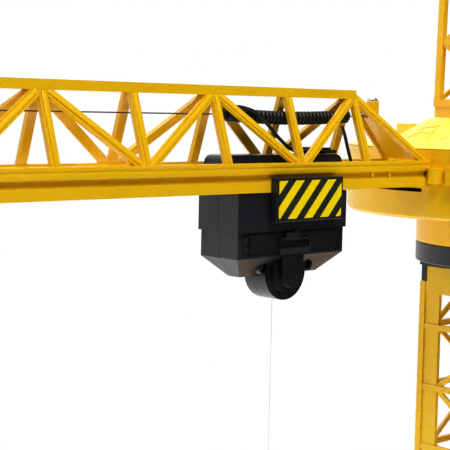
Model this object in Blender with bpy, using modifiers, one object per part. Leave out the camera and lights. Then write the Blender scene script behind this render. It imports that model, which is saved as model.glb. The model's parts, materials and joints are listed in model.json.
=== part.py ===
"""A toy tower crane: base, lattice mast, slewing turret, jib, trolley, winch and hook.

Millimetres in the named sizes, metres in Blender. +Z is up, the jib points along -X, and the
origin is on the mast's axis at the floor. Every piece is one closed solid with its own name.
"""
import math

import bmesh
import bpy
from mathutils import Matrix, Vector

MM = 0.001
GAP = 0.3                     # left between pieces that touch

# Base and mast
BASE_REACH = 255.0            # from the mast's axis to a foot's centre
BASE_LEG_WIDTH = 34.0
BASE_LEG_HEIGHT = 26.0
BASE_FLOOR_CLEARANCE = 8.0    # underside of the legs above the floor
HUB_SIDE = 164.0
HUB_TOP = 50.0
HUB_WALL = 3.0
BOTTOM_PLATE_THICKNESS = 5.0
BALLAST_SIDE = 96.0
BALLAST_HEIGHT = 22.0
FOOT_RADIUS = 19.0
SOCKET_PLATE = 8.0
SOCKET_WALL = 4.0
SOCKET_DEPTH = 14.0
MAST_SIDE = 105.6
MAST_FLANGE = 20.0            # width of a corner post's flanges
MAST_BEAD = 5.5               # square bead on a corner post's outer edge
MAST_BEAD_PROUD = 1.5
MAST_WALL = 3.5
MAST_PANEL = 52.5
MAST_PANELS = 5
MAST_BAR = 5.0
MAST_BAR_PROUD = 0.8          # bars stand this far out of the posts' flanges
MAST_BAR_DEPTH = 3.9
MAST_BRACE = 4.4
MAST_BRACE_DEPTH = 2.2
MAST_END_BAR = 9.0
MAST_TOP_BAND = 22.9

# Slewing ring, gear and turret
BRACKET_PLATE = 3.9
BRACKET_OPENING = 60.0
BRACKET_LUG = 6.6
BRACKET_LUG_INSET = 0.8
BRACKET_LUG_HEIGHT = 13.5
RING_RADIUS = 79.0
RING_BORE = 60.0
RING_HEIGHT = 16.4
NECK_HEIGHT = 25.4
NECK_WALL = 4.0
DRUM_RADIUS = 139.0
DRUM_HEIGHT = 54.8
DRUM_WALL = 3.0
DRUM_EDGE_RADIUS = 5.0
DRUM_WIRE_HOLE = 12.0
DRUM_SEGMENTS = 44
DRUM_SLOT = (-12.5, 37.0)     # across the drum's wall, below the jib
DRUM_SLOT_HEIGHTS = (-22.6, -19.6)
CORD_ENTRY_Z = -13.2
CORD_ENTRY_RADIUS = 2.2
ROOF_BASE_RADIUS = 111.0
ROOF_TOP_RADIUS = 70.0
ROOF_HEIGHT = 24.0
ROOF_WALL = 2.5
ROOF_LUG_PLACE = (-40.0, 82.0)
ROOF_LUG_SIDE = 14.0
ROOF_LUG_TOP = 29.0           # above the feet of the jib's bracing
GEAR_MODULE = 2.0
SLEW_GEAR_TEETH = 36
SLEW_PINION_TEETH = 12
GEAR_WIDTH = 8.0
GEAR_BACKLASH = 0.7           # added to the centre distance
MOTOR_RADIUS = 12.0
MOTOR_LENGTH = 29.0

# Tower head
HEAD_SIDE = 96.2              # over the corner posts
HEAD_TOP_SIDE = 92.1
HEAD_FRAME_PROUD = 0.4
HEAD_FRAME_HEIGHT = 6.1
HEAD_COLLAR = 9.3
HEAD_PANEL = 47.7
HEAD_PANELS = 4
HEAD_POST = 5.6
HEAD_BAR = 5.6
HEAD_BRACE = 4.0
HEAD_CAP_HEIGHT = 20.0

# Jib, heights are from the feet of the bracing
FOOT_ABOVE_DRUM = 44.4        # feet of the jib's bracing above the drum's underside
JIB_PITCH = 70.0
JIB_ROOT_GAP = 1.0            # from the drum's wall to the innermost foot
JIB_INNER_BAYS = 6
JIB_OUTER_BAYS = 4
JIB_HALF_WIDTH = 20.9
JIB_TOP = 54.0
JIB_TOP_BAR = 6.4
JIB_TOP_WIDTH = 8.0
CHORD_BAR_TOP = 2.3
CHORD_BAR_BOTTOM = -5.6
CHORD_BAR_WIDTH = 5.5
GROOVE_DEPTH = 2.5
GROOVE_BOTTOM = -10.2
FLANGE_BOTTOM = -17.6
LEDGE_WIDTH = 10.0            # from the flange's outer face to the ledge's inner edge
LEDGE_TOP = -12.6
JIB_UPRIGHT = 6.4
JIB_BRACE = 6.4
JIB_BRACE_DEPTH = 3.4
GROOVE_RIBS = (65.5, 46.0)    # from the innermost foot
SPLICE_STRAP = 26.0
WIRE_BRACKET = 5.0
EAR_REACH = 8.8
EAR_ROOT = 4.1                # how far the ears run back into the drum's wall
EAR_THICKNESS = 9.6
EAR_TOP = -3.2
EAR_BOTTOM = -15.4
CHEEK_RADIUS = 7.5
CHEEK_PLACE = (5.8, 40.0)     # in from the drum's radius, and out from the middle plane
PIN_OUTSIDE_DRUM = 2.6        # the root pin's axis from the drum's wall
PIN_Z = -9.4
ROOT_PIN_RADIUS = 1.6
ROOT_PIN_HALF_LENGTH = 29.0
WIRE_HEIGHT = 34.8
WIRE_RADIUS = 0.45
END_PLATE_THICKNESS = 2.0
POST_OFFSET = 5.0             # the wire post from the wire's hole in the end plate
POST_RADIUS = 4.9
POST_TOP = 46.6
CORD_RADIUS = 1.25
COIL_RADIUS = 4.9
COIL_BORE = 3.55
COIL_HEIGHT = 33.3
COIL_LENGTH = 126.0
COIL_OVERHANG = 50.0          # the coil's far end from the trolley's centre
CRIMP_RADIUS = 1.5
CRIMP_LENGTH = 4.0
CRIMP_FROM_PLATE = 4.2

# Trolley, winch and hook
TROLLEY_FROM_ROOT = 147.4     # from the innermost foot to the trolley's centre
SHELL_LENGTH = 108.0
SHELL_WALL = 2.2
BAND_HALF_DEPTH = 19.7
BAND_BOTTOM = -44.4
BAND_STEP = 1.5
LOWER_BOTTOM = -62.4
HIP_BOTTOM = -76.4
HIP_HALF_LENGTH = 38.0
HIP_HALF_DEPTH = 5.6
BARREL_RADIUS = 20.0
BARREL_Z = -74.3
BARREL_FRONT = -12.3
BARREL_BACK = 8.4
SCREW_SPACING = 43.5
SCREW_Z = -70.1
SCREW_BOSS_RADIUS = 4.9
SCREW_BOSS_FACE = -13.0
SCREW_RECESS_RADIUS = 3.3
SCREW_SEAT = -9.0
TOP_BOX_LENGTH = 118.6
TOP_BOX_SIDE_PLAY = 1.1       # from the top box to the chord's ledge
TOP_BOX_TOP = 7.5
TOP_BOX_ROUND = 6.0
CLAMP_START = 30.0            # the cord clamp's near end from the trolley's centre
CLAMP_LENGTH = 28.0
WHEEL_RADIUS = 6.0
WHEEL_WIDTH = 3.6
WHEEL_SPACING = 84.0
AXLE_RADIUS = 1.5
AXLE_CLEARANCE = 0.4
PLATE_LENGTH = 66.9
PLATE_OFFSET = 8.2            # the plates' centre from the trolley's, towards the mast
PLATE_TOP = -7.4
PLATE_BOTTOM = -37.6
PLATE_REACH = 6.3             # the plates' outer face beyond the chord's
STICKER_MARGIN = 2.0
STICKER_THICKNESS = 0.25
PANEL_HALF_LENGTH = 44.0      # raised panel on the shell's front
PANEL_OFFSET = 2.4
PANEL_TOP = -46.0
PANEL_BOTTOM = -59.5
PANEL_PROUD = 0.5
PANEL_CORNER = 4.0
COVER_HALF_WIDTH = 14.8
COVER_TOP = -49.5
COVER_BOTTOM = -61.2
COVER_TAB_HALF_WIDTH = 8.5
COVER_PLATE = 1.9
COVER_SLOT = (-51.0, -56.6)
TONGUE_HALF_WIDTH = 10.1
TONGUE_BOTTOM = -85.3
TONGUE_FACE = -19.5
COVER_DISC_RADIUS = 14.0
COVER_DISC_THICKNESS = 2.9
WINCH_CORE = 8.0
WINCH_FLANGE = 12.5
WINCH_GEAR = 14.5
LINE_RADIUS = 0.35
HOOK_TOP = 690.0
HOOK_BLOCK_HEIGHT = 38.0
HOOK_BLOCK_RADIUS = 14.0
HOOK_ROUND = 3.0              # radius of the hook's bar
HOOK_BEND = 11.0              # radius of its bend

# Motors, worm and board
TRAVEL_MOTOR_RADIUS = 7.5
TRAVEL_MOTOR_Z = -31.0
HOIST_MOTOR_RADIUS = 6.8
DRIVE_OFFSET = 4.0            # the worm's axis from the middle plane
WORM_PITCH = 3.4
WORM_TURNS = 5
WORM_OUTER_RADIUS = 3.0
WORM_ROOT_RADIUS = 2.0
WORM_SHAFT_RADIUS = 1.4
WORM_PLAY = 0.6
PINION_SHAFT_RADIUS = 2.5

# Counter jib
COUNTER_LENGTH = 165.0
COUNTER_HALF_WIDTH = 34.0
COUNTER_RAIL = 8.0
COUNTER_HEIGHTS = (-16.0, -2.0)
COUNTER_BAYS = 4
WEIGHT_LENGTH = 74.0
WEIGHT_WIDTH = 84.0
WEIGHT_HEIGHT = 62.0
WEIGHT_WALL = 2.5
SLUG_HEIGHT = 26.0
SLUG_CLEARANCE = 8.0

# Heights that follow from the sizes above
mast_bottom = HUB_TOP + GAP + SOCKET_PLATE + GAP
section_height = MAST_PANEL * MAST_PANELS
mast_top = mast_bottom + 3 * section_height
bracket_bottom = mast_top + GAP
ring_bottom = bracket_bottom + BRACKET_PLATE + GAP
neck_bottom = ring_bottom + RING_HEIGHT + GAP
drum_bottom = neck_bottom + NECK_HEIGHT + GAP
foot = drum_bottom + FOOT_ABOVE_DRUM
drum_rim = drum_bottom + DRUM_HEIGHT
roof_top = drum_rim + GAP + ROOF_HEIGHT
half_mast = MAST_SIDE / 2
winch_z = foot + BARREL_Z
jib_root = DRUM_RADIUS + JIB_ROOT_GAP
trolley_x = -(jib_root + TROLLEY_FROM_ROOT)
top_box_half_depth = JIB_HALF_WIDTH - LEDGE_WIDTH - TOP_BOX_SIDE_PLAY
plate_face = JIB_HALF_WIDTH + PLATE_REACH


def clear_scene():
    for thing in list(bpy.data.objects):
        bpy.data.objects.remove(thing, do_unlink=True)


def new_collection(name):
    made = bpy.data.collections.new(name)
    bpy.context.scene.collection.children.link(made)
    return made


def plastic(name, color, roughness=0.35, metallic=0.0):
    made = bpy.data.materials.new(name)
    made.use_nodes = True
    shader = made.node_tree.nodes["Principled BSDF"]
    shader.inputs["Base Color"].default_value = (*color, 1.0)
    shader.inputs["Roughness"].default_value = roughness
    shader.inputs["Metallic"].default_value = metallic
    made.diffuse_color = (*color, 1.0)
    return made


def mesh_from(bm):
    """A mesh in metres from a bmesh in millimetres."""
    bmesh.ops.scale(bm, vec=(MM, MM, MM), verts=bm.verts)
    made = bpy.data.meshes.new("blank")
    bm.to_mesh(made)
    bm.free()
    return made


def box(low, high, taper=None):
    """A box between two corners; taper gives its bottom face's half length and half depth."""
    bm = bmesh.new()
    bmesh.ops.create_cube(bm, size=1.0)
    size = [b - a for a, b in zip(low, high)]
    middle = Vector([(a + b) / 2 for a, b in zip(low, high)])
    if taper:
        lower = [v for v in bm.verts if v.co.z < 0]
        bmesh.ops.scale(bm, vec=(2 * taper[0] / size[0], 2 * taper[1] / size[1], 1), verts=lower)
    bmesh.ops.scale(bm, vec=size, verts=bm.verts)
    bmesh.ops.translate(bm, vec=middle, verts=bm.verts)
    return mesh_from(bm)


def bar(start, end, width, depth, outward, extra=0.0):
    """A square-edged bar between two points; its depth lies along outward."""
    start, end = Vector(start), Vector(end)
    along = (end - start).normalized()
    outward = Vector(outward)
    outward = (outward - along * outward.dot(along)).normalized()
    across = along.cross(outward)
    turn = Matrix((along, across, outward)).transposed().to_4x4()
    bm = bmesh.new()
    bmesh.ops.create_cube(bm, size=1.0)
    length = (end - start).length + 2 * extra
    bmesh.ops.scale(bm, vec=(length, width, depth), verts=bm.verts)
    bmesh.ops.transform(bm, matrix=Matrix.Translation((start + end) / 2) @ turn, verts=bm.verts)
    return mesh_from(bm)


def rod(start, end, radius, sides=16, end_radius=None):
    """A round bar, or a cone where the end's radius differs."""
    start, end = Vector(start), Vector(end)
    along = end - start
    turn = along.to_track_quat("Z", "Y").to_matrix().to_4x4()
    bm = bmesh.new()
    bmesh.ops.create_cone(bm, cap_ends=True, segments=sides, radius1=radius,
                          radius2=radius if end_radius is None else end_radius, depth=along.length)
    bmesh.ops.transform(bm, matrix=Matrix.Translation((start + end) / 2) @ turn, verts=bm.verts)
    return mesh_from(bm)


def settle(thing, merge=1e-6):
    """The evaluated mesh of an object, welded, with its faces pointing out; the object goes."""
    graph = bpy.context.evaluated_depsgraph_get()
    made = bpy.data.meshes.new_from_object(thing.evaluated_get(graph))
    bpy.data.objects.remove(thing, do_unlink=True)
    bm = bmesh.new()
    bm.from_mesh(made)
    bmesh.ops.remove_doubles(bm, verts=bm.verts, dist=merge)
    bmesh.ops.recalc_face_normals(bm, faces=bm.faces)
    bm.to_mesh(made)
    bm.free()
    return made


def turned(profile, segments=32, turn=None):
    """A solid of revolution about +Z from (radius, height) points; turn places it."""
    made = bpy.data.meshes.new("profile")
    points = [(r * MM, 0, z * MM) for r, z in profile]
    closed = all(r > 0 for r, _ in profile)
    edges = [(i, i + 1) for i in range(len(points) - 1)]
    if closed:
        edges.append((len(points) - 1, 0))
    made.from_pydata(points, edges, [])
    thing = bpy.data.objects.new("turning", made)
    bpy.context.scene.collection.objects.link(thing)
    screw = thing.modifiers.new("turn", "SCREW")
    screw.steps = segments
    screw.render_steps = segments
    screw.use_merge_vertices = True
    screw.merge_threshold = 0.00001
    result = settle(thing)
    if turn is not None:
        result.transform(turn)
    return result


def outline(points, thickness, turn):
    """A flat outline with the given thickness about its own plane; turn places it (mm)."""
    curve = bpy.data.curves.new("outline", "CURVE")
    curve.dimensions = "2D"
    curve.fill_mode = "BOTH"
    curve.extrude = thickness * MM / 2
    spline = curve.splines.new("POLY")
    spline.points.add(len(points) - 1)
    for place, (x, y) in zip(spline.points, points):
        place.co = (x * MM, y * MM, 0, 1)
    spline.use_cyclic_u = True
    thing = bpy.data.objects.new("outline", curve)
    bpy.context.scene.collection.objects.link(thing)
    result = settle(thing, 0.00001)
    turn = turn.copy()
    turn.translation *= MM
    result.transform(turn)
    return result


def tube(points, radius, resolution=2):
    """A wire or cord along its points, as one closed tube."""
    curve = bpy.data.curves.new("tube", "CURVE")
    curve.dimensions = "3D"
    curve.bevel_depth = radius * MM
    curve.bevel_resolution = resolution
    curve.use_fill_caps = True
    spline = curve.splines.new("POLY")
    spline.points.add(len(points) - 1)
    for place, point in zip(spline.points, points):
        place.co = (*[c * MM for c in point], 1)
    thing = bpy.data.objects.new("tube", curve)
    bpy.context.scene.collection.objects.link(thing)
    return settle(thing, 0.00001)


def smooth_path(points, count):
    """Points along a smooth curve through a few chosen points."""
    points = [Vector(p) for p in points]
    padded = [2 * points[0] - points[1], *points, 2 * points[-1] - points[-2]]
    path = []
    for step in range(count):
        place = step * (len(points) - 1) / (count - 1)
        leg = min(int(place), len(points) - 2)
        t = place - leg
        a, b, c, d = padded[leg:leg + 4]
        path.append(0.5 * (2 * b + (c - a) * t + (2 * a - 5 * b + 4 * c - d) * t ** 2
                           + (3 * b - a - 3 * c + d) * t ** 3))
    return path


def fuse(blanks, cuts=()):
    """One closed mesh from overlapping blanks, less the cuts."""
    base = bpy.data.objects.new("fused", blanks[0])
    bpy.context.scene.collection.objects.link(base)
    helpers = []
    groups = []
    for meshes, operation in ((blanks[1:], "UNION"), (cuts, "DIFFERENCE")):
        if not meshes:
            continue
        group = bpy.data.collections.new(operation)
        groups.append(group)
        for mesh in meshes:
            helper = bpy.data.objects.new("helper", mesh)
            group.objects.link(helper)
            helpers.append(helper)
        step = base.modifiers.new(operation, "BOOLEAN")
        step.operand_type = "COLLECTION"
        step.collection = group
        step.operation = operation
        step.solver = "EXACT"
    result = settle(base)
    for helper in helpers:
        bpy.data.objects.remove(helper, do_unlink=True)
    for group in groups:
        bpy.data.collections.remove(group)
    return result


def add(name, mesh, material, at=(0, 0, 0), smooth=False, placed=False):
    """A finished piece; its origin goes to at, and its mesh stays where it is unless placed."""
    origin = Vector(at) * MM
    if not placed:
        mesh.transform(Matrix.Translation(-origin))
    thing = bpy.data.objects.new(name, mesh)
    thing.location = origin
    mesh.name = name
    mesh.materials.clear()
    mesh.materials.append(material)
    if smooth:
        mesh.shade_smooth()
        mesh.set_sharp_from_angle(angle=math.radians(35))
    pieces.objects.link(thing)
    return thing


def quarter(mesh, turns):
    """A copy of a mesh turned about the mast's axis by quarter turns."""
    made = mesh.copy()
    made.transform(Matrix.Rotation(turns * math.pi / 2, 4, "Z"))
    return made


def around(mesh):
    return [quarter(mesh, turns) for turns in range(4)]


# ---- base and mast

def make_base():
    low = BASE_FLOOR_CLEARANCE
    leg_top = low + BASE_LEG_HEIGHT
    diagonal = BASE_REACH + BASE_LEG_WIDTH / 2
    outer = []
    inner = []
    for sign in (1, -1):
        turn = Matrix.Rotation(sign * math.pi / 4, 4, "Z")
        beam = box((-diagonal, -BASE_LEG_WIDTH / 2, low), (diagonal, BASE_LEG_WIDTH / 2, leg_top))
        beam.transform(turn)
        outer.append(beam)
        half = BASE_LEG_WIDTH / 2 - HUB_WALL
        hollow = box((-diagonal + HUB_WALL, -half, low - 5),
                     (diagonal - HUB_WALL, half, leg_top - HUB_WALL - 0.4))
        hollow.transform(turn)
        inner.append(hollow)
    half = HUB_SIDE / 2
    outer.append(box((-half, -half, low), (half, half, HUB_TOP)))
    half -= HUB_WALL
    inner.append(box((-half, -half, low - 6), (half, half, HUB_TOP - HUB_WALL)))
    spread = BASE_REACH / math.sqrt(2)
    boss_radius = BASE_LEG_WIDTH / 2 - 1.0
    base = fuse(outer, inner)
    bosses = [rod((x, y, low + 0.2), (x, y, leg_top - 1.0), boss_radius - 3.6)
              for x in (-spread, spread) for y in (-spread, spread)]
    ribs = []
    for sign in (1, -1):
        turn = Matrix.Rotation(sign * math.pi / 4, 4, "Z")
        for side in (-1, 1):
            rib = box((side * BASE_REACH - 1.5, -boss_radius, low + 0.6),
                      (side * BASE_REACH + 1.5, boss_radius, leg_top - 1.4))
            rib.transform(turn)
            ribs.append(rib)
    add("base_frame", fuse([base, *bosses, *ribs]), yellow)
    for name, x, y in (("foot_pad_a", -1, -1), ("foot_pad_b", 1, -1), ("foot_pad_c", 1, 1),
                       ("foot_pad_d", -1, 1)):
        profile = [(0, low - GAP), (FOOT_RADIUS - 3, low - GAP), (FOOT_RADIUS, low - 2.5),
                   (FOOT_RADIUS, 0), (0, 0)]
        place = Matrix.Translation((x * spread * MM, y * spread * MM, 0))
        add(name, turned(profile, 20, place), rubber, (x * spread, y * spread, 0))
    half = HUB_SIDE / 2
    rim = half - HUB_WALL - GAP
    plate = fuse([box((-half, -half, 0), (half, half, BOTTOM_PLATE_THICKNESS)),
                  box((-rim, -rim, BOTTOM_PLATE_THICKNESS - 1), (rim, rim, low + 2))])
    add("base_bottom_plate", plate, black)
    side = BALLAST_SIDE / 2
    ballast = box((-side, -side, low + 2 + GAP), (side, side, low + 2 + GAP + BALLAST_HEIGHT))
    add("base_ballast", ballast, iron)
    plate_low = HUB_TOP + GAP
    plate_top = plate_low + SOCKET_PLATE
    bore = half_mast + GAP
    wall = bore + SOCKET_WALL
    socket = fuse([box((-wall, -wall, plate_low), (wall, wall, plate_top + SOCKET_DEPTH))],
                  [box((-bore, -bore, plate_top), (bore, bore, plate_top + SOCKET_DEPTH + 5)),
                   box((-25, -25, plate_low - 5), (25, 25, plate_top + 5))])
    add("mast_socket", socket, black)


def mast_mesh(top_band):
    """One mast section, standing on z = 0; the top one has a deeper band and cut beads."""
    flange, proud, bead = MAST_FLANGE, MAST_BEAD_PROUD, MAST_BEAD
    inside = proud + MAST_WALL
    corner = [(0, 0), (bead, 0), (bead, proud), (flange, proud), (flange, inside),
              (inside, inside), (inside, flange), (proud, flange), (proud, bead), (0, bead)]
    place = Matrix.Translation((-half_mast, -half_mast, section_height / 2 - GAP / 2))
    post = outline(corner, section_height - GAP, place)
    blanks = around(post)
    plane = -half_mast + proud + MAST_WALL / 2
    face = -half_mast + proud - MAST_BAR_PROUD
    reach = half_mast - bead + 0.5
    top = section_height - GAP
    for level in range(MAST_PANELS + 1):
        z = level * MAST_PANEL
        tall = MAST_BAR
        if level == 0:
            tall, z = MAST_END_BAR, MAST_END_BAR / 2 + 0.4
        if level == MAST_PANELS:
            tall = MAST_TOP_BAND if top_band else MAST_END_BAR
            z = top - tall / 2 - 0.4
        rail = box((-reach, face, z - tall / 2), (reach, face + MAST_BAR_DEPTH, z + tall / 2))
        blanks += around(rail)
    node = half_mast - flange + 1.5
    for panel in range(MAST_PANELS):
        low, high = panel * MAST_PANEL, (panel + 1) * MAST_PANEL
        if panel == 0:
            low += 3
        if panel == MAST_PANELS - 1:
            high -= 4
        side = 1 if panel % 2 == 0 else -1
        brace = bar((side * node, plane, low), (-side * node, plane, high), MAST_BRACE,
                    MAST_BRACE_DEPTH, (0, -1, 0), 2)
        blanks += around(brace)
    if not top_band:
        return fuse(blanks)
    lug = BRACKET_LUG + GAP
    notch = box((-half_mast - 2, -half_mast - 2, section_height - BRACKET_LUG_HEIGHT - GAP),
                (-half_mast + lug, -half_mast + lug, section_height + 2))
    return fuse(blanks, around(notch))


def make_mast():
    plain = mast_mesh(False)
    add("mast_section_lower", plain, yellow, (0, 0, mast_bottom), placed=True)
    add("mast_section_middle", plain.copy(), yellow, (0, 0, mast_bottom + section_height),
        placed=True)
    add("mast_section_upper", mast_mesh(True), yellow, (0, 0, mast_bottom + 2 * section_height),
        placed=True)
    top = bracket_bottom + BRACKET_PLATE
    half, bore = half_mast + 0.4, BRACKET_OPENING / 2
    outside, inside = half_mast - BRACKET_LUG_INSET, half_mast - BRACKET_LUG
    lug = box((-outside, -outside, mast_top - BRACKET_LUG_HEIGHT),
              (-inside, -inside, bracket_bottom + 1))
    bracket = fuse([box((-half, -half, bracket_bottom), (half, half, top)), *around(lug)],
                   [box((-bore, -bore, bracket_bottom - 5), (bore, bore, top + 5))])
    add("mast_top_bracket", bracket, black)


# ---- turret

def ring_profile(outer, inner, low, high, chamfer=0.0):
    c = chamfer
    if c:
        return [(inner, high), (outer - c, high), (outer, high - c), (outer, low + c),
                (outer - c, low), (inner, low)]
    return [(inner, high), (outer, high), (outer, low), (inner, low)]


def gear_outline(teeth, phase):
    """Teeth with straight flanks, thin enough to run with play."""
    pitch = 2 * math.pi / teeth
    radius = GEAR_MODULE * teeth / 2
    root, tip = radius - 1.2 * GEAR_MODULE, radius + 0.8 * GEAR_MODULE
    points = []
    for tooth in range(teeth):
        middle = tooth * pitch + phase
        for share, r in ((-0.26, root), (-0.11, tip), (0.11, tip), (0.26, root)):
            angle = middle + share * pitch
            points.append((r * math.cos(angle), r * math.sin(angle)))
    return points


def make_slewing():
    low, high = ring_bottom, ring_bottom + RING_HEIGHT
    add("slewing_ring", turned(ring_profile(RING_RADIUS, RING_BORE, low, high, 0.8), 40), slate,
        smooth=True)
    gear_low = high + 4.0
    gear = outline(gear_outline(SLEW_GEAR_TEETH, 0), GEAR_WIDTH,
                   Matrix.Translation((0, 0, gear_low + GEAR_WIDTH / 2)))
    hub = turned(ring_profile(24, 14, bracket_bottom + BRACKET_PLATE + GAP, gear_low + 2), 24)
    flange = turned(ring_profile(50, 14.6, ring_bottom, ring_bottom + 3), 24)
    hole = rod((0, 0, gear_low - 5), (0, 0, gear_low + GEAR_WIDTH + 5), 14.3, 24)
    add("slew_gear", fuse([fuse([gear], [hole]), hub, flange]), white)
    distance = GEAR_MODULE * (SLEW_GEAR_TEETH + SLEW_PINION_TEETH) / 2 + GEAR_BACKLASH
    centre = (0, distance)
    half_tooth = math.pi / SLEW_PINION_TEETH
    pinion = outline(gear_outline(SLEW_PINION_TEETH, -math.pi / 2 + half_tooth), GEAR_WIDTH - 0.6,
                     Matrix.Translation((*centre, gear_low + GEAR_WIDTH / 2)))
    shaft_top = drum_bottom + DRUM_WALL
    shaft = rod((*centre, gear_low + 1), (*centre, shaft_top - GAP), PINION_SHAFT_RADIUS, 12)
    add("slew_pinion", fuse([pinion, shaft]), white, (*centre, gear_low))
    motor_low = drum_bottom + DRUM_WALL + GAP
    motor = turned([(0, motor_low + MOTOR_LENGTH), (MOTOR_RADIUS - 6, motor_low + MOTOR_LENGTH),
                    (MOTOR_RADIUS - 6, motor_low + MOTOR_LENGTH - 2),
                    (MOTOR_RADIUS, motor_low + MOTOR_LENGTH - 2), (MOTOR_RADIUS, motor_low),
                    (0, motor_low)], 20, Matrix.Translation((0, centre[1] * MM, 0)))
    add("slew_motor", motor, steel, (*centre, motor_low))
    return centre


def root_pin_place():
    return -(DRUM_RADIUS + PIN_OUTSIDE_DRUM), foot + PIN_Z


def make_turret(pinion_centre):
    low, high = neck_bottom, neck_bottom + NECK_HEIGHT
    add("turret_neck", turned(ring_profile(RING_RADIUS, RING_RADIUS - NECK_WALL, low, high), 40),
        yellow, smooth=True)
    edge, outer, wall = DRUM_EDGE_RADIUS, DRUM_RADIUS, DRUM_WALL
    arc = [(outer - edge + edge * math.cos(a), drum_bottom + edge - edge * math.sin(a))
           for a in [math.radians(d) for d in (0, 30, 60, 90)]]
    profile = [(outer - wall, drum_rim), (outer, drum_rim), *arc,
               (DRUM_WIRE_HOLE, drum_bottom), (DRUM_WIRE_HOLE, drum_bottom + wall),
               (outer - wall - 2, drum_bottom + wall), (outer - wall, drum_bottom + wall + 2)]
    drum = turned(profile, DRUM_SEGMENTS)
    inner = JIB_HALF_WIDTH + 0.5
    ears = []
    shaft_hole = PINION_SHAFT_RADIUS + GAP + 0.1
    holes = [rod((*pinion_centre, drum_bottom - 5), (*pinion_centre, drum_bottom + 8), shaft_hole,
                 12)]
    for side in (-1, 1):
        near, far = sorted((side * inner, side * (inner + EAR_THICKNESS)))
        ear_x = -math.sqrt(outer ** 2 - inner ** 2)
        knuckle, middle = EAR_THICKNESS / 2, (near + far) / 2
        ears.append(box((ear_x - EAR_REACH + knuckle, near, foot + EAR_BOTTOM),
                        (ear_x + EAR_ROOT, far, foot + EAR_TOP)))
        end = ear_x - EAR_REACH + knuckle
        ears.append(rod((end, middle, foot + EAR_BOTTOM), (end, middle, foot + EAR_TOP), knuckle, 24))
        cheek = (-outer + CHEEK_PLACE[0], side * CHEEK_PLACE[1])
        ears.append(rod((*cheek, foot + EAR_BOTTOM - 0.7), (*cheek, foot + EAR_TOP + 0.7),
                        CHEEK_RADIUS, 20))
    pin_x, pin_z = root_pin_place()
    blind = ROOT_PIN_HALF_LENGTH + GAP
    holes.append(rod((pin_x, -blind, pin_z), (pin_x, 36, pin_z), ROOT_PIN_RADIUS + GAP, 12))
    holes.append(box((-outer - 5, DRUM_SLOT[0], foot + DRUM_SLOT_HEIGHTS[0]),
                     (-outer + 14, DRUM_SLOT[1], foot + DRUM_SLOT_HEIGHTS[1])))
    entry_z = foot + CORD_ENTRY_Z
    holes.append(rod((-outer - 5, 0, entry_z), (-outer + 8, 0, entry_z), CORD_ENTRY_RADIUS, 12))
    add("turret_drum", fuse([drum, *ears], holes), yellow, smooth=True)
    low = drum_rim + GAP
    slope = (ROOF_BASE_RADIUS - ROOF_TOP_RADIUS) / (ROOF_HEIGHT - 1.5)
    hole = 12.0
    inner_top = ROOF_TOP_RADIUS - ROOF_WALL * 0.4
    profile = [(hole, roof_top), (ROOF_TOP_RADIUS, roof_top), (ROOF_BASE_RADIUS, low + 1.5),
               (outer - 1.0, low + 1.5), (outer, low + 0.5), (outer, low),
               (outer - wall - GAP - 0.4, low), (outer - wall - GAP - 0.4, low - 5),
               (outer - wall - 3, low - 5), (outer - wall - 3, low - 1.0),
               (ROOF_BASE_RADIUS - ROOF_WALL * slope * 0.4, low - 1.0),
               (inner_top, roof_top - ROOF_WALL), (hole, roof_top - ROOF_WALL)]
    lug_x, lug_y = ROOF_LUG_PLACE
    half = ROOF_LUG_SIDE / 2
    lug = box((lug_x - half, lug_y - half, low + 6), (lug_x + half, lug_y + half, foot + ROOF_LUG_TOP))
    add("turret_roof", fuse([turned(profile, DRUM_SEGMENTS), lug]), pale_yellow, smooth=True)
    board_z = drum_bottom + DRUM_WALL + GAP
    board = fuse([box((20, -92, board_z + 4), (90, -42, board_z + 5.6)),
                  *[box((x - 3, y - 3, board_z), (x + 3, y + 3, board_z + 4.5))
                    for x in (26, 84) for y in (-86, -48)],
                  box((40, -77, board_z + 5), (56, -61, board_z + 9)),
                  box((66, -83, board_z + 5), (80, -73, board_z + 12))])
    add("control_board", board, green)


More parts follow.
